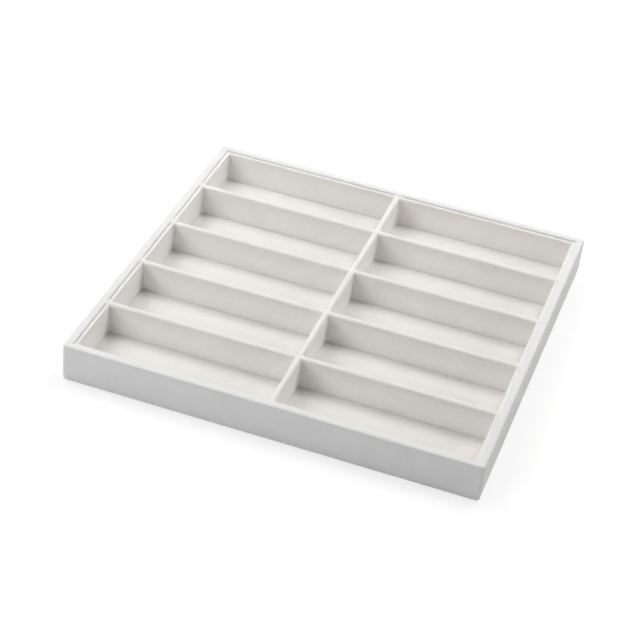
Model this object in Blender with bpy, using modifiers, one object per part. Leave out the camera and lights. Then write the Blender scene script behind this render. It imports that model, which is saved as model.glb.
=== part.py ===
"""Sunglasses storage tray: boards wrapped in velour, with two columns and five rows of compartments.

Metres, +Z up. The origin is the centre of the underside, X runs left to right along the front,
and Y runs from the front to the back. Row 1 is at the front.
"""

import math

import bmesh
import bpy
from mathutils import Vector

# Overall size and layout
TRAY_WIDTH = 0.360
TRAY_DEPTH = 0.360
TRAY_HEIGHT = 0.0356
COLUMNS = ("left", "right")
ROWS = 5

# Sheet and board thicknesses
VELOUR = 0.0006
WALL_BOARD = 0.0047
BASE_BOARD = 0.0020
DIVIDER_BOARD = 0.0030
LINING_STRIP = 0.0026
FLOOR_PANEL = 0.0010
UNDERSIDE_SHEET = 0.0006

# Glue line between two faces that are stuck together, and play in the half-lap slots
SEAT = 0.0003

# Heights below the rim
STRIP_DROP = 0.0020
DIVIDER_DROP = 0.0016

# Cloth edges under the tray
TURN_IN = 0.014
UNDERSIDE_INSET = 0.003

# Rounding of the boards, which the cloth over them follows
BOARD_EDGE_ROUND = 0.0003
BOARD_CORNER_ROUND = 0.0021
DIVIDER_BOARD_ROUND = 0.0005
STRIP_ROUND = 0.0008
PANEL_ROUND = 0.0003
CREASE_ROUND = 0.0004

# Flats in each quarter round
EDGE_STEPS = 3
CORNER_STEPS = 4

# Cloth and its glue line, over a board
WRAP = VELOUR + SEAT
RIM_WIDTH = WALL_BOARD + 2 * WRAP
DIVIDER_THICKNESS = DIVIDER_BOARD + 2 * WRAP

# Roundings as the boards' thicknesses allow them
WALL_EDGE_ROUND = min(BOARD_EDGE_ROUND, WALL_BOARD / 3)
WALL_CORNER_ROUND = min(BOARD_CORNER_ROUND, WALL_BOARD / 2)
DIVIDER_EDGE_ROUND = min(DIVIDER_BOARD_ROUND, DIVIDER_BOARD / 3)

# Levels, from the surface that the tray stands on
COVER_BOTTOM = UNDERSIDE_SHEET + SEAT
BOARD_BOTTOM = COVER_BOTTOM + WRAP
BASE_TOP = BOARD_BOTTOM + BASE_BOARD
LINING_BOTTOM = BASE_TOP + SEAT
FLOOR_TOP = LINING_BOTTOM + FLOOR_PANEL
STRIP_TOP = TRAY_HEIGHT - STRIP_DROP
DIVIDER_TOP = TRAY_HEIGHT - DIVIDER_DROP
LAP_LEVEL = (LINING_BOTTOM + DIVIDER_TOP) / 2

# Half sizes in plan: the well is the space inside the covered walls
HALF_WIDTH = TRAY_WIDTH / 2
HALF_DEPTH = TRAY_DEPTH / 2
WELL_HALF_WIDTH = HALF_WIDTH - RIM_WIDTH
WELL_HALF_DEPTH = HALF_DEPTH - RIM_WIDTH
LINED = LINING_STRIP + SEAT

ROW_CLEAR = (2 * WELL_HALF_DEPTH - (ROWS - 1) * DIVIDER_THICKNESS) / ROWS
ROW_PITCH = ROW_CLEAR + DIVIDER_THICKNESS

# Colour and roughness of each material
VELOUR_FINISH = ((0.84, 0.83, 0.81, 1.0), 0.95)
FIBREBOARD_FINISH = ((0.45, 0.36, 0.26, 1.0), 0.85)
CARD_FINISH = ((0.55, 0.53, 0.50, 1.0), 0.90)
PAPER_FINISH = ((0.78, 0.77, 0.75, 1.0), 0.90)


def clear_scene():
    for obj in list(bpy.data.objects):
        bpy.data.objects.remove(obj, do_unlink=True)


def new_collection(name):
    collection = bpy.data.collections.new(name)
    bpy.context.scene.collection.children.link(collection)
    return collection


def new_material(name, finish):
    colour, roughness = finish
    material = bpy.data.materials.new(name)
    material.use_nodes = True
    shader = material.node_tree.nodes["Principled BSDF"]
    shader.inputs["Base Color"].default_value = colour
    shader.inputs["Roughness"].default_value = roughness
    shader.inputs["Metallic"].default_value = 0.0
    return material


def add_object(name, bm, centre, collection):
    """An object of the finished mesh, whose origin is at its own centre."""
    mesh = bpy.data.meshes.new(name)
    bm.to_mesh(mesh)
    bm.free()
    mesh.shade_smooth()
    mesh.set_sharp_from_angle(angle=math.radians(40))
    obj = bpy.data.objects.new(name, mesh)
    obj.location = centre
    collection.objects.link(obj)
    return obj


def add_piece(name, bm, centre, material):
    obj = add_object(name, bm, centre, tray)
    obj.data.materials.append(material)
    obj.parent = tray_root
    return obj


def block_mesh(size):
    """A box of this size about the origin."""
    bm = bmesh.new()
    bmesh.ops.create_cube(bm, size=1.0)
    bmesh.ops.scale(bm, vec=size, verts=bm.verts)
    return bm


def round_edges(bm, chosen, radius, steps=EDGE_STEPS):
    """Rounds the edges that chosen(middle, direction) picks, by no more than the piece allows."""
    edges = []
    for edge in bm.edges:
        start, end = edge.verts[0].co, edge.verts[1].co
        if chosen((start + end) / 2, (end - start).normalized()):
            edges.append(edge)
    bmesh.ops.bevel(bm, geom=edges, offset=radius, segments=steps, profile=0.5,
                    affect="EDGES", clamp_overlap=True)


def nearest_axis(direction):
    """Index of the axis that a direction lies closest to."""
    return max(range(3), key=lambda axis: abs(direction[axis]))


def top_of(size):
    """Picks every edge in the upper part of a block, which are those of its top face."""
    return lambda middle, direction: middle.z > size.z / 4


def top_along(size, axis):
    """Picks the edges of the top face that run along the axis with this index."""
    return lambda middle, direction: middle.z > size.z / 4 and nearest_axis(direction) == axis


def size_and_centre(low, high):
    low, high = Vector(low), Vector(high)
    return high - low, (low + high) / 2


def rounded_block(name, low, high, material, radius):
    """A wrapped card with its upper edges rounded."""
    size, centre = size_and_centre(low, high)
    bm = block_mesh(size)
    round_edges(bm, top_of(size), min(radius, size.z / 3, size.x / 3, size.y / 3))
    add_piece(name, bm, centre, material)


def end_wall_board(name, side, material):
    """The front or back board, which runs the full width and has the rounded corners."""
    outer = HALF_DEPTH - WRAP
    near, far = sorted((side * (outer - WALL_BOARD), side * outer))
    half = HALF_WIDTH - WRAP
    size, centre = size_and_centre((-half, near, BOARD_BOTTOM), (half, far, TRAY_HEIGHT - WRAP))
    bm = block_mesh(size)
    round_edges(bm, lambda middle, direction: nearest_axis(direction) == 2 and middle.y * side > 0,
                WALL_CORNER_ROUND, CORNER_STEPS)
    round_edges(bm, top_of(size), WALL_EDGE_ROUND)
    add_piece(name, bm, centre, material)


def side_wall_board(name, side, material):
    """The left or right board, which fits between the front and back boards."""
    outer = HALF_WIDTH - WRAP
    near, far = sorted((side * (outer - WALL_BOARD), side * outer))
    half = HALF_DEPTH - WRAP - WALL_BOARD - SEAT
    size, centre = size_and_centre((near, -half, BOARD_BOTTOM), (far, half, TRAY_HEIGHT - WRAP))
    bm = block_mesh(size)
    round_edges(bm, top_along(size, 1), WALL_EDGE_ROUND)
    add_piece(name, bm, centre, material)


def quarter_round(centre, radius, start_angle, end_angle):
    """Points of an arc in the wall's section, as (inset from the outer face, height)."""
    points = []
    for step in range(EDGE_STEPS + 1):
        angle = math.radians(start_angle + (end_angle - start_angle) * step / EDGE_STEPS)
        points.append((centre[0] + radius * math.cos(angle), centre[1] + radius * math.sin(angle)))
    return points


def cover_section():
    """The cloth's outer face in section: under the base, up the outside, over the rim, down the inside."""
    rim_round = WALL_EDGE_ROUND + WRAP
    points = [(TURN_IN, COVER_BOTTOM)]
    points += quarter_round((WRAP, COVER_BOTTOM + WRAP), WRAP, 270, 180)
    points += quarter_round((rim_round, TRAY_HEIGHT - rim_round), rim_round, 180, 90)
    points += quarter_round((RIM_WIDTH - rim_round, TRAY_HEIGHT - rim_round), rim_round, 90, 0)
    points.append((RIM_WIDTH, LINING_BOTTOM))
    return points


def corner_radius(inset):
    """The plan radius of the corner, from the outer corner's to the crease inside the walls."""
    outer = WALL_CORNER_ROUND + WRAP
    share = min(inset / RIM_WIDTH, 1.0)
    return outer + (CREASE_ROUND - outer) * share


def rounded_rectangle(half_x, half_y, radius, z):
    """Points of a rectangle with round corners, anticlockwise from above."""
    points = []
    for corner in range(4):
        sign_x = 1 if corner in (0, 3) else -1
        sign_y = 1 if corner in (0, 1) else -1
        for step in range(CORNER_STEPS + 1):
            angle = math.pi / 2 * (corner + step / CORNER_STEPS)
            points.append((sign_x * (half_x - radius) + radius * math.cos(angle),
                           sign_y * (half_y - radius) + radius * math.sin(angle), z))
    return points


def outer_cover(name, material):
    """One piece of velour round all four walls, a loft of the section that is then thickened inwards."""
    bm = bmesh.new()
    loops = []
    for inset, z in cover_section():
        outline = rounded_rectangle(HALF_WIDTH - inset, HALF_DEPTH - inset, corner_radius(inset), z)
        loops.append([bm.verts.new(point) for point in outline])
    for lower, upper in zip(loops, loops[1:]):
        for index in range(len(lower)):
            after = (index + 1) % len(lower)
            bm.faces.new((lower[index], lower[after], upper[after], upper[index]))
    thicken(add_piece(name, bm, (0, 0, 0), material))


def thicken(obj):
    """Gives an open surface of cloth its thickness, on the side away from its normals."""
    solidify = obj.modifiers.new("cloth_thickness", "SOLIDIFY")
    solidify.thickness = VELOUR
    solidify.offset = -1
    solidify.use_even_offset = True


def divider_box(axis, offset, wrap):
    """Low and high corners of a divider along this axis, less the wrap on its faces and top."""
    half_length = (WELL_HALF_WIDTH, WELL_HALF_DEPTH)[axis] - SEAT
    half_thickness = DIVIDER_THICKNESS / 2 - wrap
    across = 1 - axis
    low, high = Vector((0, 0, LINING_BOTTOM)), Vector((0, 0, DIVIDER_TOP - wrap))
    low[axis], high[axis] = -half_length, half_length
    low[across], high[across] = offset - half_thickness, offset + half_thickness
    return low, high


def divider_board(name, axis, offset, material):
    size, centre = size_and_centre(*divider_box(axis, offset, WRAP))
    bm = block_mesh(size)
    round_edges(bm, top_along(size, axis), DIVIDER_EDGE_ROUND)
    return add_piece(name, bm, centre, material)


def divider_cover(name, axis, offset, material):
    """Velour folded over a divider's top edge and glued down both faces, open below and at the ends."""
    size, centre = size_and_centre(*divider_box(axis, offset, 0.0))
    bm = block_mesh(size)
    round_edges(bm, top_along(size, axis), DIVIDER_EDGE_ROUND + WRAP)
    ends = [face for face in bm.faces if nearest_axis(face.normal) == axis]
    bottom = [face for face in bm.faces if nearest_axis(face.normal) == 2 and face.normal.z < 0]
    bmesh.ops.delete(bm, geom=ends + bottom, context="FACES")
    obj = add_piece(name, bm, centre, material)
    thicken(obj)
    return obj


def slot_cutter(name, low, high):
    size, centre = size_and_centre(low, high)
    cutter = add_object(name, block_mesh(size), centre, cutters)
    cutter.hide_render = True
    cutter.display_type = "WIRE"
    return cutter


def cut(obj, cutter):
    boolean = obj.modifiers.new("cut_" + cutter.name, "BOOLEAN")
    boolean.operation = "DIFFERENCE"
    boolean.solver = "EXACT"
    boolean.object = cutter


def row_span(row):
    """Front and back limit of a row, between the divider or wall faces on each side of it."""
    front = -WELL_HALF_DEPTH + (row - 1) * ROW_PITCH
    return front, front + ROW_CLEAR


def column_span(column):
    """Left and right limit of a column, between the wall and the centre divider."""
    if column == "left":
        return -WELL_HALF_WIDTH, -DIVIDER_THICKNESS / 2
    return DIVIDER_THICKNESS / 2, WELL_HALF_WIDTH


def lined_row_span(row):
    """A row's limits, less the lining strip on a wall."""
    front, back = row_span(row)
    return front + LINED * (row == 1), back - LINED * (row == ROWS)


def lined_column_span(column):
    low, high = column_span(column)
    return low + LINED * (column == "left"), high - LINED * (column == "right")


def side_strip(column, row, material):
    """Lining on the left or right wall, between two dividers."""
    front, back = row_span(row)
    side = -1 if column == "left" else 1
    near, far = sorted((side * (WELL_HALF_WIDTH - SEAT), side * (WELL_HALF_WIDTH - LINED)))
    rounded_block(f"{column}_lining_strip_{row}", (near, front + SEAT, LINING_BOTTOM),
                  (far, back - SEAT, STRIP_TOP), material, STRIP_ROUND)


def end_strip(end, column, material):
    """Lining on the front or back wall, between a side strip and the centre divider."""
    low, high = lined_column_span(column)
    side = -1 if end == "front" else 1
    near, far = sorted((side * (WELL_HALF_DEPTH - SEAT), side * (WELL_HALF_DEPTH - LINED)))
    rounded_block(f"{end}_lining_strip_{column}", (low + SEAT, near, LINING_BOTTOM),
                  (high - SEAT, far, STRIP_TOP), material, STRIP_ROUND)


def floor_panel(column, row, material):
    low, high = lined_column_span(column)
    front, back = lined_row_span(row)
    rounded_block(f"floor_panel_{column}_{row}", (low + SEAT, front + SEAT, LINING_BOTTOM),
                  (high - SEAT, back - SEAT, FLOOR_TOP), material, PANEL_ROUND)


def base_board(name, material):
    """The bottom board, inside the wall boards and on the turned-in cloth."""
    half_x = WELL_HALF_WIDTH + VELOUR
    half_y = WELL_HALF_DEPTH + VELOUR
    size, centre = size_and_centre((-half_x, -half_y, BOARD_BOTTOM), (half_x, half_y, BASE_TOP))
    add_piece(name, block_mesh(size), centre, material)


def underside_sheet(name, material):
    """The sheet glued under the tray, over the edges of the turned-in cloth."""
    half_x = HALF_WIDTH - UNDERSIDE_INSET
    half_y = HALF_DEPTH - UNDERSIDE_INSET
    size, centre = size_and_centre((-half_x, -half_y, 0), (half_x, half_y, UNDERSIDE_SHEET))
    bm = block_mesh(size)
    round_edges(bm, lambda middle, direction: nearest_axis(direction) == 2, WALL_CORNER_ROUND,
                CORNER_STEPS)
    add_piece(name, bm, centre, material)


def build_shell():
    for name, side in (("front_wall_board", -1), ("back_wall_board", 1)):
        end_wall_board(name, side, board)
    for name, side in (("left_wall_board", -1), ("right_wall_board", 1)):
        side_wall_board(name, side, board)
    base_board("base_board", board)
    outer_cover("outer_velour_cover", velour)
    underside_sheet("underside_sheet", paper)


def build_dividers():
    """The centre divider, slotted from above, and the cross dividers, slotted from below to sit in it."""
    centre_pieces = [divider_board("centre_divider_board", 1, 0.0, card),
                     divider_cover("centre_divider_cover", 1, 0.0, velour)]
    slot = DIVIDER_THICKNESS / 2 + SEAT
    for number in range(1, ROWS):
        middle = row_span(number)[1] + DIVIDER_THICKNESS / 2
        cross_pieces = [divider_board(f"cross_divider_board_{number}", 0, middle, card),
                        divider_cover(f"cross_divider_cover_{number}", 0, middle, velour)]
        lower = slot_cutter(f"lower_slot_{number}", (-slot, middle - ROW_CLEAR / 2, 0),
                            (slot, middle + ROW_CLEAR / 2, LAP_LEVEL + SEAT / 2))
        upper = slot_cutter(f"upper_slot_{number}", (-ROW_CLEAR / 2, middle - slot, LAP_LEVEL - SEAT / 2),
                            (ROW_CLEAR / 2, middle + slot, TRAY_HEIGHT))
        for piece in cross_pieces:
            cut(piece, lower)
        for piece in centre_pieces:
            cut(piece, upper)


def build_lining():
    for column in COLUMNS:
        for row in range(1, ROWS + 1):
            side_strip(column, row, velour)
            floor_panel(column, row, velour)
        for end in ("front", "back"):
            end_strip(end, column, velour)


clear_scene()
tray = new_collection("sunglasses_storage_tray")
cutters = new_collection("cutters")
tray_root = bpy.data.objects.new("tray_root", None)
tray.objects.link(tray_root)

velour = new_material("velour", VELOUR_FINISH)
board = new_material("fibreboard", FIBREBOARD_FINISH)
card = new_material("card", CARD_FINISH)
paper = new_material("backing_paper", PAPER_FINISH)

build_shell()
build_dividers()
build_lining()
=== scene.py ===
import math

import bmesh
import bpy
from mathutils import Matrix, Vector, noise

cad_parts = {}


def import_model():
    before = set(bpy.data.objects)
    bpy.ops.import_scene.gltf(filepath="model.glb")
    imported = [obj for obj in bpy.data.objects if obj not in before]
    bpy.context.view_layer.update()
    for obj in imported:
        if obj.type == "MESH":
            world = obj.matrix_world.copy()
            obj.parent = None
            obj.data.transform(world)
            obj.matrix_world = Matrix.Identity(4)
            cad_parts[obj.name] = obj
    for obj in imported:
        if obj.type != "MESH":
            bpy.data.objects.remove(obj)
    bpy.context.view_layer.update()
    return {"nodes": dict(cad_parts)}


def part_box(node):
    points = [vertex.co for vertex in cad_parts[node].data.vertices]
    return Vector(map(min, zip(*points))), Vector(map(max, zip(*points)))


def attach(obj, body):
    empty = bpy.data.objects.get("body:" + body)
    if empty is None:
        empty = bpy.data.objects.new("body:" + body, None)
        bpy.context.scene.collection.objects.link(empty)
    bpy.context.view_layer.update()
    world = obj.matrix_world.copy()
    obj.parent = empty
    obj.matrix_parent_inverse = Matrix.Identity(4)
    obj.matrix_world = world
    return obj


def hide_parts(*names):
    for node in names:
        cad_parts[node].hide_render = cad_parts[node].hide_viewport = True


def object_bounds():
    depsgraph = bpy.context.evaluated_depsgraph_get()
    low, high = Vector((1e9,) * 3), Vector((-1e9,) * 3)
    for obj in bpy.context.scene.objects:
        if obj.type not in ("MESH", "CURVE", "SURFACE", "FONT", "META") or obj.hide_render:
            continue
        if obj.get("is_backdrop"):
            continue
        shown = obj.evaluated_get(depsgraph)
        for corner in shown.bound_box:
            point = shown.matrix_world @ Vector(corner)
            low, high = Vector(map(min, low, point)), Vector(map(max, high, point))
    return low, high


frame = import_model()

# Lengths are in metres and angles in degrees

BODY = "root"
COLUMNS = ("left", "right")
ROWS = 5
ALONG_X, ALONG_Y = 0, 1

# The cloth, how far its pile stands out of the solids, and the gaps between pieces
SEAT = 0.0003
VELOUR = 0.0006
PILE = 0.00035
OUTER_PILE = 0.0003
CONTACT = 0.00002
PANEL_GAP = 0.00005
STRIP_BACK_GAP = 0.00008

# The outer cloth, turned in under the base, and the walls' foot, which leans in to the fold
TURN_IN = 0.014
COVER_BOTTOM = 0.0009
CLOTH_FOLD = 0.0009
TOE_IN = 0.0007
TOE_HEIGHT = 0.006

# Corners of the tray in plan, outside and inside, and the steps round one
CORNER_ROUND = 0.0030
CREASE_ROUND = 0.0004
CORNER_STEPS = 9

# Roundings of the cloth, which is softer than the boards under it
RIM_OUTER_ROUND = 0.0016
RIM_INNER_ROUND = 0.0017
RIM_CROWN = 0.00005
DIVIDER_ROUND = 0.0024
STRIP_ROUND = 0.0012
STRIP_BACK_ROUND = 0.0012
STRIP_BACK_DROP = 0.0002
PANEL_ROUND = 0.0003

# The pile where pieces meet, and how far the cloth rises towards a wall or a divider
PILE_FILLET = 0.0015
LEAST_FILLET = 1e-5
FILLET_FADE = 0.006
WALL_RAMP = 0.0011
WALL_RAMP_LENGTH = 0.0024
STRIP_RISE_LENGTH = 0.003

# Unevenness of cloth glued by hand, as (height, length). Below this level it lifts the cloth less
WAVES = ((0.00009, 0.045), (0.00003, 0.009))
WAVE_LEVEL = 0.004

# Without a seed, noise takes one from the clock, and the waves come out different in each run
WAVE_SEED = 1
noise.seed_set(WAVE_SEED)

# The paper under the tray
SHEET_CORNER = 0.002
SHEET_EDGE = 0.00015

# Spacing of the mesh, where it is finer, and how close two places may be
STEP = 0.004
PANEL_STEP = 0.008
SHEET_STEP = 0.012
FINE_STEPS = (0.00012, 0.0003, 0.00055, 0.00085, 0.0012, 0.0016, 0.0022, 0.0030)
LEAST_STEP = 1e-5
SLACK = 1e-9

# Steps of the walls' section, from the fold at the foot to the cloth's edge inside the well
FOLD_STEPS = 5
SIDE_STEPS = 12
SIDE_CROWDING = 1.6
RIM_STEPS = 7
WELL_STEPS = 6

# Places up the side and across the top of a divider or strip, as shares
SIDE_ROWS = 4
SIDE_SHARES = [step / SIDE_ROWS for step in range(SIDE_ROWS + 1)]
TOP_STEPS = 10
TOP_SHARES = [math.sin(math.pi / 2 * k / TOP_STEPS) for k in range(-TOP_STEPS, TOP_STEPS + 1)]

# Directions in the walls' section. The fold ends a little short of the outward one
INWARDS, UP, OUTWARDS, DOWN = 0, 90, 180, 270
FOLD_END = 190

# Bevels of the cards, and the angles from which an edge is sharp
CARD_CORNER_SEGMENTS = 5
CARD_EDGE_SEGMENTS = 3
ROUND_PROFILE = 0.5
SHARP_ANGLE = 40
CARD_SHARP_ANGLE = 60

# Camera of the photograph
CAMERA_PLACE = (0.33929, -1.29502, 0.95956)
CAMERA_TURN = (54.1835, -5.3363, 19.1286)
CAMERA_LENS = 104.798
CAMERA_SENSOR = 36
CAMERA_CLIP = (0.01, 50)

# The floor, its grey for the light that it throws back, and the darker grey that the camera sees
FLOOR_HALF = 4.0
FLOOR_CELLS = 24
FLOOR_LEVEL = -0.0002
FLOOR_GREY = 0.85
SEEN_GREY = 0.35

# The glow that the camera sees on the floor, as (distance from the middle, strength)
GLOW_NEAR = (0.3, 0.70)
GLOW_FAR = (1.8, 1.0)

# The world is white where the camera, reflections or glass see it, and gives no other light
WORLD_SEEN = 1.0
WORLD_LIGHT = 0.0

# Soft lamps: name, (elevation, azimuth), distance, size, watts and colour
LAMPS = (
    ("back_lamp", (29, 180), 1.03, 0.6, 3.9, (1.0, 1.0, 0.98)),
    ("left_lamp", (45, 270), 0.99, 0.6, 2.0, (0.95, 0.98, 1.0)),
    ("front_left_lamp", (25, 330), 1.8, 0.9, 10.1, (0.985, 0.99, 1.0)),
    ("right_lamp", (25, 90), 1.8, 0.9, 6.1, (1.0, 0.985, 0.98)),
    ("top_right_lamp", (65, 135), 1.8, 0.9, 12.2, (0.99, 1.0, 1.0)),
    ("top_left_lamp", (65, 270), 1.8, 0.9, 7.9, (1.0, 0.97, 0.95)),
)


# Places in the solids that the pieces share. WELL is half the well, to where the dividers end

HALF_X, HALF_Y, RIM_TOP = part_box("outer_velour_cover")[1]
divider_low, divider_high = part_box("centre_divider_cover")
HALF_THICK = divider_high.x + PILE
DIVIDER_TOP = divider_high.z
LINING_BOTTOM = divider_low.z
WELL = (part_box("cross_divider_cover_1")[1].x, divider_high.y)
RIM_WIDTH = HALF_X - WELL[ALONG_X]
STRIP_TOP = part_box("left_lining_strip_1")[1].z
FLOOR_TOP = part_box("floor_panel_left_1")[1].z
LAP_LEVEL = (LINING_BOTTOM + DIVIDER_TOP) / 2

# Middles of the cross dividers, from front to back
CROSSINGS = []
for number in range(1, ROWS):
    low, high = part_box(f"cross_divider_cover_{number}")
    CROSSINGS.append((low.y + high.y) / 2)

# Each compartment between the piles round it, as (low x, high x, low y, high y)
OPENINGS = {}
TO_PILE = SEAT - PILE
for column in COLUMNS:
    for row in range(1, ROWS + 1):
        low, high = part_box(f"floor_panel_{column}_{row}")
        OPENINGS[column, row] = (low.x - TO_PILE, high.x + TO_PILE, low.y - TO_PILE, high.y + TO_PILE)

# Where the compartments begin and end along X and along Y
LINED = (
    (OPENINGS["left", 1][0], OPENINGS["right", 1][1]),
    (OPENINGS["left", 1][2], OPENINGS["left", ROWS][3]),
)


# Materials


class Nodes:
    """A material's node tree, with short ways to add and join nodes."""

    def __init__(self, name):
        self.material = bpy.data.materials.new(name)
        self.material.use_nodes = True
        self.tree = self.material.node_tree
        self.shader = self.tree.nodes["Principled BSDF"]
        self.place = self.add("ShaderNodeTexCoord")

    def add(self, kind, **values):
        node = self.tree.nodes.new(kind)
        for key, value in values.items():
            setattr(node, key, value)
        return node

    def join(self, output, socket):
        self.tree.links.new(output, socket)

    def noise(self, scale, detail, rough=0.55, stretch=None, cloth=False):
        """Noise with about scale times stretch features per metre, laid on the cloth or in space."""
        texture = self.add("ShaderNodeTexNoise")
        texture.inputs["Scale"].default_value = scale
        texture.inputs["Detail"].default_value = detail
        texture.inputs["Roughness"].default_value = rough
        source = self.place.outputs["UV" if cloth else "Object"]
        if stretch:
            mapping = self.add("ShaderNodeMapping")
            mapping.inputs["Scale"].default_value = stretch
            self.join(source, mapping.inputs["Vector"])
            source = mapping.outputs["Vector"]
        self.join(source, texture.inputs["Vector"])
        return texture.outputs["Fac"]

    def weigh(self, parts):
        """Weighted sum of (output, weight), each output taken about its middle, 0.5."""
        total = None
        for output, weight in parts:
            scaled = self.add("ShaderNodeMath", operation="MULTIPLY_ADD")
            self.join(output, scaled.inputs[0])
            scaled.inputs[1].default_value = weight
            if total is None:
                scaled.inputs[2].default_value = 0.5 - sum(w for _, w in parts) / 2
            else:
                self.join(total, scaled.inputs[2])
            total = scaled.outputs[0]
        return total

    def colour(self, factor, dark, light):
        mix = self.add("ShaderNodeMix", data_type="RGBA")
        self.join(factor, mix.inputs["Factor"])
        mix.inputs["A"].default_value = (*dark, 1)
        mix.inputs["B"].default_value = (*light, 1)
        self.join(mix.outputs["Result"], self.shader.inputs["Base Color"])

    def roughness(self, factor, low, high):
        span = self.add("ShaderNodeMapRange")
        self.join(factor, span.inputs["Value"])
        span.inputs["To Min"].default_value = low
        span.inputs["To Max"].default_value = high
        self.join(span.outputs["Result"], self.shader.inputs["Roughness"])

    def bump(self, height, distance):
        bump = self.add("ShaderNodeBump")
        bump.inputs["Distance"].default_value = distance
        bump.inputs["Strength"].default_value = 1.0
        self.join(height, bump.inputs["Height"])
        self.join(bump.outputs["Normal"], self.shader.inputs["Normal"])


def velour_material(name, dark, light):
    """Short pile: a cloudy nap, a fine grain and the way the pile lies along the cloth."""
    nodes = Nodes(name)
    nap = nodes.noise(scale=55, detail=3)
    grain = nodes.noise(scale=1100, detail=4, rough=0.65)
    lay = nodes.noise(scale=1, detail=3, stretch=(220, 900, 1), cloth=True)
    tone = nodes.weigh([(nap, 0.8), (grain, 0.9), (lay, 0.5)])
    nodes.colour(tone, dark, light)
    nodes.roughness(nap, low=0.88, high=1.0)
    nodes.bump(nodes.weigh([(grain, 0.8), (lay, 0.4)]), distance=0.00012)
    shader = nodes.shader
    shader.inputs["Specular IOR Level"].default_value = 0.1
    shader.inputs["Sheen Weight"].default_value = 0.12
    shader.inputs["Sheen Roughness"].default_value = 0.5
    return nodes.material


def board_material(name, dark, light, fibres, flecks):
    """Pressed board or card: fibres five times as long as wide, flecks and a slightly uneven tone."""
    nodes = Nodes(name)
    across = 5 * fibres
    cloud = nodes.noise(scale=40, detail=3)
    strands = nodes.noise(scale=1, detail=4, stretch=(fibres, across, across))
    speck = nodes.noise(scale=flecks, detail=2)
    tone = nodes.weigh([(cloud, 0.5), (strands, 1.2), (speck, 0.8)])
    nodes.colour(tone, dark, light)
    nodes.roughness(strands, low=0.78, high=0.95)
    nodes.bump(strands, distance=0.00008)
    nodes.shader.inputs["Specular IOR Level"].default_value = 0.25
    return nodes.material


# Dark and light tone of each, and for the boards their fibres and flecks per metre
velour = velour_material("lining_velour", (0.815, 0.797, 0.774), (0.905, 0.887, 0.864))
# The strips on the side walls take a slightly darker, greyer copy of the lining velour: painted shade on
# their tops and faces
side_velour_painted_shade = velour_material("side_strip_velour_painted_shade", (0.797, 0.786, 0.771), (0.884, 0.873, 0.858))
# The outer cloth is a darker, greyer copy of the lining velour: painted shade on the rim and the outer
# faces
outer_cloth_painted_shade = velour_material("outer_velour", (0.770, 0.767, 0.763), (0.855, 0.852, 0.847))
fibreboard = board_material("pressed_fibreboard", (0.33, 0.25, 0.17), (0.55, 0.45, 0.34), 260, 1200)
card = board_material("grey_card", (0.46, 0.44, 0.41), (0.62, 0.60, 0.57), 400, 1600)
paper = board_material("underside_paper", (0.72, 0.71, 0.69), (0.82, 0.81, 0.79), 500, 2200)


def dress_boards():
    """Gives the boards inside, which keep their solids, a material of their own."""
    for name, node in frame["nodes"].items():
        if name.endswith("wall_board") or name == "base_board":
            chosen = fibreboard
        elif "divider_board" in name:
            chosen = card
        else:
            continue
        node.data.materials.clear()
        node.data.materials.append(chosen)


# Shapes that the pieces share


def fade(value):
    """1 at 0, falling smoothly to 0 at 1."""
    t = min(max(value, 0.0), 1.0)
    return 1 - t * t * (3 - 2 * t)


def arc_drop(distance, radius):
    """How far a rounded edge lies below its face, at this distance in from the edge."""
    if distance >= radius:
        return 0.0
    return radius - math.sqrt(max(radius ** 2 - (radius - max(distance, 0.0)) ** 2, 0.0))


def from_opening(x, y):
    """Distance in plan from the nearest compartment's edge, whose corners are round."""
    nearest = math.inf
    for x0, x1, y0, y1 in OPENINGS.values():
        dx = max(x0 - x, x - x1) + PILE_FILLET
        dy = max(y0 - y, y - y1) + PILE_FILLET
        if dx > nearest + PILE_FILLET or dy > nearest + PILE_FILLET:
            continue
        nearest = min(nearest, math.hypot(max(dx, 0.0), max(dy, 0.0)) - PILE_FILLET)
    return max(nearest, 0.0)


def divider_level(x, y):
    """Height of a divider's top, which the cloth carries up to the wall at each end."""
    to_wall = max(min(WELL[ALONG_X] - abs(x), WELL[ALONG_Y] - abs(y)), 0.0)
    return DIVIDER_TOP + WALL_RAMP * max(1 - to_wall / WALL_RAMP_LENGTH, 0.0) ** 2


def rim_inset(z):
    """How far the rim's rounded inner edge lies back from the wall's inner face, at this height."""
    rise = min(max(z - (RIM_TOP - RIM_INNER_ROUND), 0.0), RIM_INNER_ROUND)
    return RIM_INNER_ROUND - math.sqrt(RIM_INNER_ROUND ** 2 - rise ** 2)


def toe_in(z):
    """How far the outer cloth leans in at this height, towards the fold at its foot."""
    return TOE_IN * max(1 - (z - COVER_BOTTOM) / TOE_HEIGHT, 0.0) ** 2


def waved(point):
    """The point, moved by the unevenness of the cloth, which neighbouring pieces share."""
    moved = Vector(point)
    lift = 1 - fade(point[2] / WAVE_LEVEL)
    for height, length in WAVES:
        shift = noise.noise_vector(Vector(point) / length) * height
        moved += Vector((shift.x, shift.y, shift.z * lift))
    return moved


def distances(points):
    """Distance of each point from the first one, along the line through them."""
    found = [0.0]
    for (a, b), (c, d) in zip(points, points[1:]):
        found.append(found[-1] + math.hypot(c - a, d - b))
    return found


def stations(start, end, marks):
    """Places along a piece, at most STEP apart, at each mark and finer round it."""
    found = {start, end}
    for mark in marks:
        found.add(mark)
        for step in FINE_STEPS:
            found.update((mark - step, mark + step))
    found = sorted(place for place in found if start - SLACK <= place <= end + SLACK)
    out = [found[0]]
    for place in found[1:]:
        base = out[-1]
        gap = place - base
        if gap < LEAST_STEP:
            continue
        pieces = math.ceil(gap / STEP)
        out += [base + gap * part / pieces for part in range(1, pieces + 1)]
    return out


def in_plan(axis, along, across):
    """The place (x, y) in a piece that runs along this axis."""
    return (along, across) if axis == ALONG_X else (across, along)


# From a mesh to a piece


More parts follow.
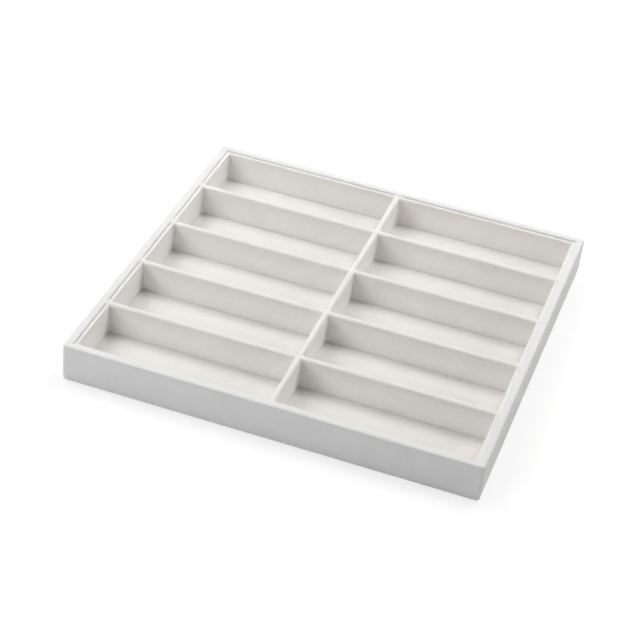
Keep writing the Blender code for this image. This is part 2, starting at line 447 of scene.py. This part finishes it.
def finish_piece(name, bm, replaced, material, thickness=0.0, sharp=SHARP_ANGLE):
    """Turns the mesh into a piece that rides on the tray and stands for these CAD nodes."""
    mesh = bpy.data.meshes.new(name)
    bm.to_mesh(mesh)
    bm.free()
    obj = bpy.data.objects.new(name, mesh)
    bpy.context.scene.collection.objects.link(obj)
    if thickness:
        solidify = obj.modifiers.new("cloth_thickness", "SOLIDIFY")
        solidify.thickness = thickness
        solidify.offset = -1
        graph = bpy.context.evaluated_depsgraph_get()
        solid = bpy.data.meshes.new_from_object(obj.evaluated_get(graph))
        obj.modifiers.clear()
        obj.data = solid
        solid.name = name
        bpy.data.meshes.remove(mesh)
        mesh = solid
    mesh.shade_smooth()
    mesh.set_sharp_from_angle(angle=math.radians(sharp))
    mesh.materials.append(material)
    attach(obj, BODY)
    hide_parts(*replaced)
    return obj


def set_uv(bm, places):
    """Writes each corner's place on the cloth, in metres."""
    layer = bm.loops.layers.uv.new("cloth")
    for face in bm.faces:
        for loop in face.loops:
            loop[layer].uv = places[loop.vert]


def add_sections(bm, places, profile_at, spot):
    """Adds the section at each place. Returns the sections, and where their points lie on the cloth."""
    grid = []
    uv = {}
    for s in places:
        profile = profile_at(s)
        section = []
        for (across, z), run in zip(profile, distances(profile)):
            x, y = spot(s, across, z)
            vert = bm.verts.new(waved((x, y, z)))
            uv[vert] = (s, run)
            section.append(vert)
        grid.append(section)
    return grid, uv


# The outer cloth


def arc(centre, radius, start, end, steps):
    """Points on an arc about this centre, from one direction to another."""
    found = []
    for step in range(steps + 1):
        angle = math.radians(start + (end - start) * step / steps)
        found.append((centre[0] + radius * math.cos(angle), centre[1] + radius * math.sin(angle)))
    return found


def cover_section():
    """The cloth's outer face in section, as (inset from the solid's outer face, height)."""
    out = -OUTER_PILE
    points = [(TURN_IN, COVER_BOTTOM), (TURN_IN / 2, COVER_BOTTOM)]
    low, high = COVER_BOTTOM + CLOTH_FOLD, RIM_TOP - RIM_OUTER_ROUND
    points += arc((out + toe_in(low) + CLOTH_FOLD, low), CLOTH_FOLD, DOWN, FOLD_END, FOLD_STEPS)
    for step in range(SIDE_STEPS):
        z = low + (high - low) * (step / SIDE_STEPS) ** SIDE_CROWDING
        points.append((out + toe_in(z), z))
    points += arc((out + RIM_OUTER_ROUND, high), RIM_OUTER_ROUND, OUTWARDS, UP, RIM_STEPS)
    points.append(((RIM_WIDTH + out) / 2, RIM_TOP + RIM_CROWN))
    high = RIM_TOP - RIM_INNER_ROUND
    points += arc((RIM_WIDTH - RIM_INNER_ROUND, high), RIM_INNER_ROUND, UP, INWARDS, RIM_STEPS)
    for step in range(1, WELL_STEPS + 1):
        points.append((RIM_WIDTH, high + (LINING_BOTTOM - high) * step / WELL_STEPS))
    return points


def outline_at(inset):
    """The tray's outline in plan, with round corners, at this inset from its outer face."""
    radius = CORNER_ROUND + (CREASE_ROUND - CORNER_ROUND) * min(max(inset, 0) / RIM_WIDTH, 1.0)
    half_x, half_y = HALF_X - inset - radius, HALF_Y - inset - radius
    side_steps = round(2 * (HALF_X - CORNER_ROUND) / STEP)
    signs = ((1, 1), (-1, 1), (-1, -1), (1, -1))

    def on_corner(corner, share):
        sign_x, sign_y = signs[corner % len(signs)]
        angle = math.pi / 2 * (corner + share)
        return sign_x * half_x + radius * math.cos(angle), sign_y * half_y + radius * math.sin(angle)

    outline = []
    for corner in range(len(signs)):
        outline += [on_corner(corner, step / CORNER_STEPS) for step in range(CORNER_STEPS + 1)]
        x, y = outline[-1]
        next_x, next_y = on_corner(corner + 1, 0)
        for step in range(1, side_steps):
            share = step / side_steps
            outline.append((x + (next_x - x) * share, y + (next_y - y) * share))
    return outline


def outer_velour():
    """One piece of velour round all four walls, turned in under the base and down inside."""
    section = cover_section()
    lengths = distances(section)
    outlines = [outline_at(inset) for inset, _ in section]
    outer = outline_at(-OUTER_PILE)
    along = distances(outer + outer[:1])
    bm = bmesh.new()
    layer = bm.loops.layers.uv.new("cloth")
    rings = []
    for (_, z), outline in zip(section, outlines):
        rings.append([bm.verts.new(waved((x, y, z))) for x, y in outline])
    for level, (lower, upper) in enumerate(zip(rings, rings[1:])):
        for index in range(len(lower)):
            after = (index + 1) % len(lower)
            face = bm.faces.new((lower[index], lower[after], upper[after], upper[index]))
            corners = ((index, level), (index + 1, level), (index + 1, level + 1), (index, level + 1))
            for loop, (i, k) in zip(face.loops, corners):
                loop[layer].uv = (along[i], lengths[k])
    # The outer cloth's darker, greyer tone is painted shade
    obj = finish_piece("outer_velour", bm, ["outer_velour_cover"], outer_cloth_painted_shade, thickness=VELOUR)


# Dividers, strips and floors


def folded_cover(name, replaced, axis, middle):
    """Velour folded over a divider. The one along X is cut out below the crossing, the other above it."""
    half_length = WELL[axis] - CONTACT
    crossings = [0.0] if axis == ALONG_X else CROSSINGS
    marks = list(LINED[axis])
    for place in crossings:
        marks += [place - HALF_THICK - CONTACT, place + HALF_THICK + CONTACT]
    places = stations(-half_length, half_length, marks)

    def to_crossing(s):
        """Distance from the nearest face of a crossing divider, below 0 inside it."""
        return min(abs(s - place) for place in crossings) - HALF_THICK

    def flare(s, z):
        """The pile fills the corner between this divider and the one it runs up against."""
        depth = (LAP_LEVEL - z) if axis == ALONG_X else (z - LAP_LEVEL)
        radius = PILE_FILLET * (1 - fade(depth / FILLET_FADE))
        distance = to_crossing(s)
        if distance < 0 or radius < LEAST_FILLET:
            return 0.0
        return arc_drop(distance, radius)

    def top(s, v):
        """Height of the cloth's top, which is rounded down to the compartments."""
        x, y = in_plan(axis, s, middle + v)
        return divider_level(x, y) - arc_drop(from_opening(x, y), DIVIDER_ROUND)

    def profile_at(s):
        """Up one face, over the top and down the other, as (place across, height)."""
        wide = HALF_THICK + flare(s, DIVIDER_TOP)
        edge_top = top(s, wide)
        levels = [LINING_BOTTOM + (LAP_LEVEL - LINING_BOTTOM) * share for share in SIDE_SHARES]
        levels += [LAP_LEVEL + (edge_top - LAP_LEVEL) * share for share in SIDE_SHARES[1:]]
        profile = [(-HALF_THICK - flare(s, z), z) for z in levels]
        profile += [(wide * share, top(s, wide * share)) for share in TOP_SHARES[1:-1]]
        profile += [(HALF_THICK + flare(s, z), z) for z in reversed(levels)]
        return profile

    def spot(s, v, z):
        """The place in plan. The cloth's two ends follow the rim's rounding."""
        if abs(s) > half_length - CONTACT:
            s += math.copysign(rim_inset(z), s)
        return in_plan(axis, s, middle + v)

    bm = bmesh.new()
    grid, uv = add_sections(bm, places, profile_at, spot)
    rows = len(grid[0])
    for i in range(len(places) - 1):
        crossed = to_crossing((places[i] + places[i + 1]) / 2) < CONTACT
        for k in range(rows - 1):
            lower = k < SIDE_ROWS or k >= rows - 1 - SIDE_ROWS
            if crossed and lower == (axis == ALONG_X):
                continue
            bm.faces.new((grid[i][k], grid[i + 1][k], grid[i + 1][k + 1], grid[i][k + 1]))
    loose = [vert for vert in bm.verts if not vert.link_faces]
    bmesh.ops.delete(bm, geom=loose, context="VERTS")
    set_uv(bm, uv)
    bm.normal_update()
    if max(bm.faces, key=lambda f: f.calc_center_median().z).normal.z < 0:
        bmesh.ops.reverse_faces(bm, faces=bm.faces)
    obj = finish_piece(name, bm, [replaced], velour, thickness=VELOUR)


def lining_strip(name, replaced, axis, side, start, end, ends):
    """A wrapped card against a wall. ends says what each end meets: a divider, a strip or the wall."""
    other = 1 - axis
    inner = -side * LINED[other][0]
    outer = side * (WELL[other] - STRIP_BACK_GAP)
    width = abs(outer - inner)
    low, high = start + CONTACT, end - CONTACT
    marks = [start, end] + [mark for mark in LINED[axis] if low < mark < high]
    places = stations(low, high, marks)

    def flare(s):
        """The pile fills the corners between this strip and what it meets, apart from the wall."""
        found = 0.0
        if ends[0] != "wall":
            found += arc_drop(s - start, PILE_FILLET)
        if ends[1] != "wall":
            found += arc_drop(end - s, PILE_FILLET)
        return found

    def near_divider(s):
        """1 at a divider, falling to 0 away from it."""
        found = 0.0
        if ends[0] == "divider":
            found += fade((s - start) / STRIP_RISE_LENGTH)
        if ends[1] == "divider":
            found += fade((end - s) / STRIP_RISE_LENGTH)
        return found

    def spot(s, u, z):
        """The place in plan, which is the same at every height."""
        return in_plan(axis, s, inner + side * u)

    def top(s, u):
        """Height of the strip's top, which rises to a divider and is rounded at both edges."""
        x, y = spot(s, u, STRIP_TOP)
        near = near_divider(s)
        level = STRIP_TOP + (divider_level(x, y) - STRIP_TOP) * near
        level -= arc_drop(from_opening(x, y), STRIP_ROUND + (DIVIDER_ROUND - STRIP_ROUND) * near)
        back = arc_drop(width - u, STRIP_BACK_ROUND) * STRIP_BACK_DROP / STRIP_BACK_ROUND
        return level - back * (1 - near)

    def profile_at(s):
        """Up the inner face, over the top and down the back, as (place across, height)."""
        reach = -flare(s)
        edge_top = top(s, reach)
        back = top(s, width)
        profile = [(reach, LINING_BOTTOM + (edge_top - LINING_BOTTOM) * share) for share in SIDE_SHARES]
        for share in TOP_SHARES[1:-1]:
            u = reach + (width - reach) * (share + 1) / 2
            profile.append((u, top(s, u)))
        return profile + [(width + rim_inset(back), back), (width, LINING_BOTTOM)]

    bm = bmesh.new()
    grid, uv = add_sections(bm, places, profile_at, spot)
    rows = len(grid[0])
    for i in range(len(places) - 1):
        for k in range(rows):
            after = (k + 1) % rows
            bm.faces.new((grid[i][k], grid[i + 1][k], grid[i + 1][after], grid[i][after]))
    bm.faces.new(grid[0])
    bm.faces.new(list(reversed(grid[-1])))
    bmesh.ops.recalc_face_normals(bm, faces=bm.faces)
    set_uv(bm, uv)
    # Strips along the side walls take the copy of the velour with painted shade
    finish_piece(name, bm, [replaced], side_velour_painted_shade if axis == ALONG_Y else velour)


def cut_grid(bm, low, high, step):
    """Cuts a mesh along evenly spaced planes in X and Y."""
    for axis in (ALONG_X, ALONG_Y):
        count = max(1, round((high[axis] - low[axis]) / step))
        for part in range(1, count):
            place = Vector((0, 0, 0))
            place[axis] = low[axis] + (high[axis] - low[axis]) * part / count
            normal = Vector((0, 0, 0))
            normal[axis] = 1
            geom = list(bm.verts) + list(bm.edges) + list(bm.faces)
            bmesh.ops.bisect_plane(bm, geom=geom, plane_co=place, plane_no=normal)


def rounded_card(name, replaced, low, high, corner, edge, material, step, wave=True):
    """A thin flat piece with round corners and softened upper edges."""
    size = Vector(high) - Vector(low)
    bm = bmesh.new()
    bmesh.ops.create_cube(bm, size=1.0)
    bmesh.ops.scale(bm, vec=size, verts=bm.verts)
    bmesh.ops.translate(bm, vec=(Vector(high) + Vector(low)) / 2, verts=bm.verts)
    upright = [e for e in bm.edges if abs(e.verts[0].co.z - e.verts[1].co.z) > size.z / 2]
    bmesh.ops.bevel(bm, geom=upright, offset=corner, segments=CARD_CORNER_SEGMENTS,
                    profile=ROUND_PROFILE, affect="EDGES")
    middle = (low[2] + high[2]) / 2
    upper = [e for e in bm.edges if min(v.co.z for v in e.verts) > middle]
    bmesh.ops.bevel(bm, geom=upper, offset=edge, segments=CARD_EDGE_SEGMENTS,
                    profile=ROUND_PROFILE, affect="EDGES")
    cut_grid(bm, low, high, step)
    uv = {vert: (vert.co.x, vert.co.y) for vert in bm.verts}
    if wave:
        for vert in bm.verts:
            vert.co = waved(vert.co)
    bmesh.ops.recalc_face_normals(bm, faces=bm.faces)
    set_uv(bm, uv)
    obj = finish_piece(name, bm, [replaced], material, sharp=CARD_SHARP_ANGLE)
    weighted = obj.modifiers.new("flat_faces", "WEIGHTED_NORMAL")
    weighted.keep_sharp = True


# The tray


def compartment(column, row):
    """The strip on the side wall and the floor of one compartment."""
    x0, x1, y0, y1 = OPENINGS[column, row]
    side = -1 if column == "left" else 1
    ends = ("wall" if row == 1 else "divider", "wall" if row == ROWS else "divider")
    start = -WELL[ALONG_Y] if row == 1 else y0
    end = WELL[ALONG_Y] if row == ROWS else y1
    lining_strip(f"{column}_strip_velour_{row}", f"{column}_lining_strip_{row}", ALONG_Y, side,
                 start, end, ends)
    rounded_card(f"{column}_floor_velour_{row}", f"floor_panel_{column}_{row}",
                 (x0 + PANEL_GAP, y0 + PANEL_GAP, LINING_BOTTOM),
                 (x1 - PANEL_GAP, y1 - PANEL_GAP, FLOOR_TOP),
                 PILE_FILLET, PANEL_ROUND, velour, PANEL_STEP)


def tray():
    """The outer cloth, the dividers, the lining and the paper underneath."""
    outer_velour()
    folded_cover("centre_divider_velour", "centre_divider_cover", ALONG_Y, 0.0)
    for number, place in enumerate(CROSSINGS, 1):
        folded_cover(f"cross_divider_velour_{number}", f"cross_divider_cover_{number}", ALONG_X, place)
    for column in COLUMNS:
        for row in range(1, ROWS + 1):
            compartment(column, row)
        start, end = OPENINGS[column, 1][:2]
        ends = ("strip", "divider") if column == "left" else ("divider", "strip")
        for wall, side in (("front", -1), ("back", 1)):
            lining_strip(f"{wall}_strip_velour_{column}", f"{wall}_lining_strip_{column}", ALONG_X, side,
                         start, end, ends)
    low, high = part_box("underside_sheet")
    rounded_card("underside_paper_sheet", "underside_sheet", low, high, SHEET_CORNER, SHEET_EDGE, paper,
                 SHEET_STEP, wave=False)


# Floor, light and camera


def floor_material():
    """A diffuse floor. The camera sees a darker one, which keeps the shadow, and a glow towards white."""
    material = bpy.data.materials.new("studio_floor")
    material.use_nodes = True
    tree = material.node_tree
    tree.nodes.clear()
    out = tree.nodes.new("ShaderNodeOutputMaterial")
    plain = tree.nodes.new("ShaderNodeBsdfDiffuse")
    plain.inputs["Color"].default_value = (FLOOR_GREY, FLOOR_GREY, FLOOR_GREY, 1)
    seen = tree.nodes.new("ShaderNodeBsdfDiffuse")
    seen.inputs["Color"].default_value = (SEEN_GREY, SEEN_GREY, SEEN_GREY, 1)
    glow = tree.nodes.new("ShaderNodeEmission")
    place = tree.nodes.new("ShaderNodeTexCoord")
    away = tree.nodes.new("ShaderNodeVectorMath")
    away.operation = "LENGTH"
    tree.links.new(place.outputs["Object"], away.inputs[0])
    span = tree.nodes.new("ShaderNodeMapRange")
    span.interpolation_type = "SMOOTHSTEP"
    for limit, (distance, strength) in (("Min", GLOW_NEAR), ("Max", GLOW_FAR)):
        span.inputs[f"From {limit}"].default_value = distance
        span.inputs[f"To {limit}"].default_value = strength
    tree.links.new(away.outputs["Value"], span.inputs["Value"])
    tree.links.new(span.outputs["Result"], glow.inputs["Strength"])
    both = tree.nodes.new("ShaderNodeAddShader")
    tree.links.new(seen.outputs[0], both.inputs[0])
    tree.links.new(glow.outputs[0], both.inputs[1])
    mix = tree.nodes.new("ShaderNodeMixShader")
    path = tree.nodes.new("ShaderNodeLightPath")
    tree.links.new(path.outputs["Is Camera Ray"], mix.inputs[0])
    tree.links.new(plain.outputs[0], mix.inputs[1])
    tree.links.new(both.outputs[0], mix.inputs[2])
    tree.links.new(mix.outputs[0], out.inputs["Surface"])
    return material


def floor():
    bm = bmesh.new()
    bmesh.ops.create_grid(bm, x_segments=FLOOR_CELLS, y_segments=FLOOR_CELLS, size=FLOOR_HALF)
    mesh = bpy.data.meshes.new("studio_floor")
    bm.to_mesh(mesh)
    bm.free()
    mesh.materials.append(floor_material())
    obj = bpy.data.objects.new("studio_floor", mesh)
    obj.location.z = FLOOR_LEVEL
    bpy.context.scene.collection.objects.link(obj)
    obj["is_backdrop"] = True


def world():
    """A world that the camera, reflections and glass see as white."""
    data = bpy.data.worlds.new("studio")
    bpy.context.scene.world = data
    data.use_nodes = True
    tree = data.node_tree
    dome = tree.nodes["Background"]
    white = tree.nodes.new("ShaderNodeBackground")
    for background, strength in ((dome, WORLD_LIGHT), (white, WORLD_SEEN)):
        background.inputs["Color"].default_value = (1, 1, 1, 1)
        background.inputs["Strength"].default_value = strength
    path = tree.nodes.new("ShaderNodeLightPath")
    seen = path.outputs["Is Camera Ray"]
    for ray in ("Is Glossy Ray", "Is Transmission Ray"):
        either = tree.nodes.new("ShaderNodeMath")
        either.operation = "MAXIMUM"
        tree.links.new(seen, either.inputs[0])
        tree.links.new(path.outputs[ray], either.inputs[1])
        seen = either.outputs[0]
    mix = tree.nodes.new("ShaderNodeMixShader")
    tree.links.new(seen, mix.inputs[0])
    tree.links.new(dome.outputs[0], mix.inputs[1])
    tree.links.new(white.outputs[0], mix.inputs[2])
    tree.links.new(mix.outputs[0], tree.nodes["World Output"].inputs["Surface"])


def lamps():
    for name, (elevation, azimuth), distance, size, power, colour in LAMPS:
        lamp = bpy.data.lights.new(name, "AREA")
        lamp.shape = "DISK"
        lamp.size = size
        lamp.energy = power
        lamp.color = colour
        obj = bpy.data.objects.new(name, lamp)
        a, e = math.radians(azimuth), math.radians(elevation)
        direction = Vector((math.sin(a) * math.cos(e), -math.cos(a) * math.cos(e), math.sin(e)))
        obj.location = direction * distance
        obj.rotation_euler = (-obj.location).to_track_quat("-Z", "Y").to_euler()
        bpy.context.scene.collection.objects.link(obj)


def camera():
    data = bpy.data.cameras.new("camera")
    data.sensor_width = CAMERA_SENSOR
    data.lens = CAMERA_LENS
    data.clip_start, data.clip_end = CAMERA_CLIP
    obj = bpy.data.objects.new("camera", data)
    obj.location = CAMERA_PLACE
    obj.rotation_euler = [math.radians(angle) for angle in CAMERA_TURN]
    bpy.context.scene.collection.objects.link(obj)
    bpy.context.scene.camera = obj


dress_boards()
tray()
floor()
world()
lamps()
camera()
bpy.context.scene.view_settings.view_transform = "Standard"

low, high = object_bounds()
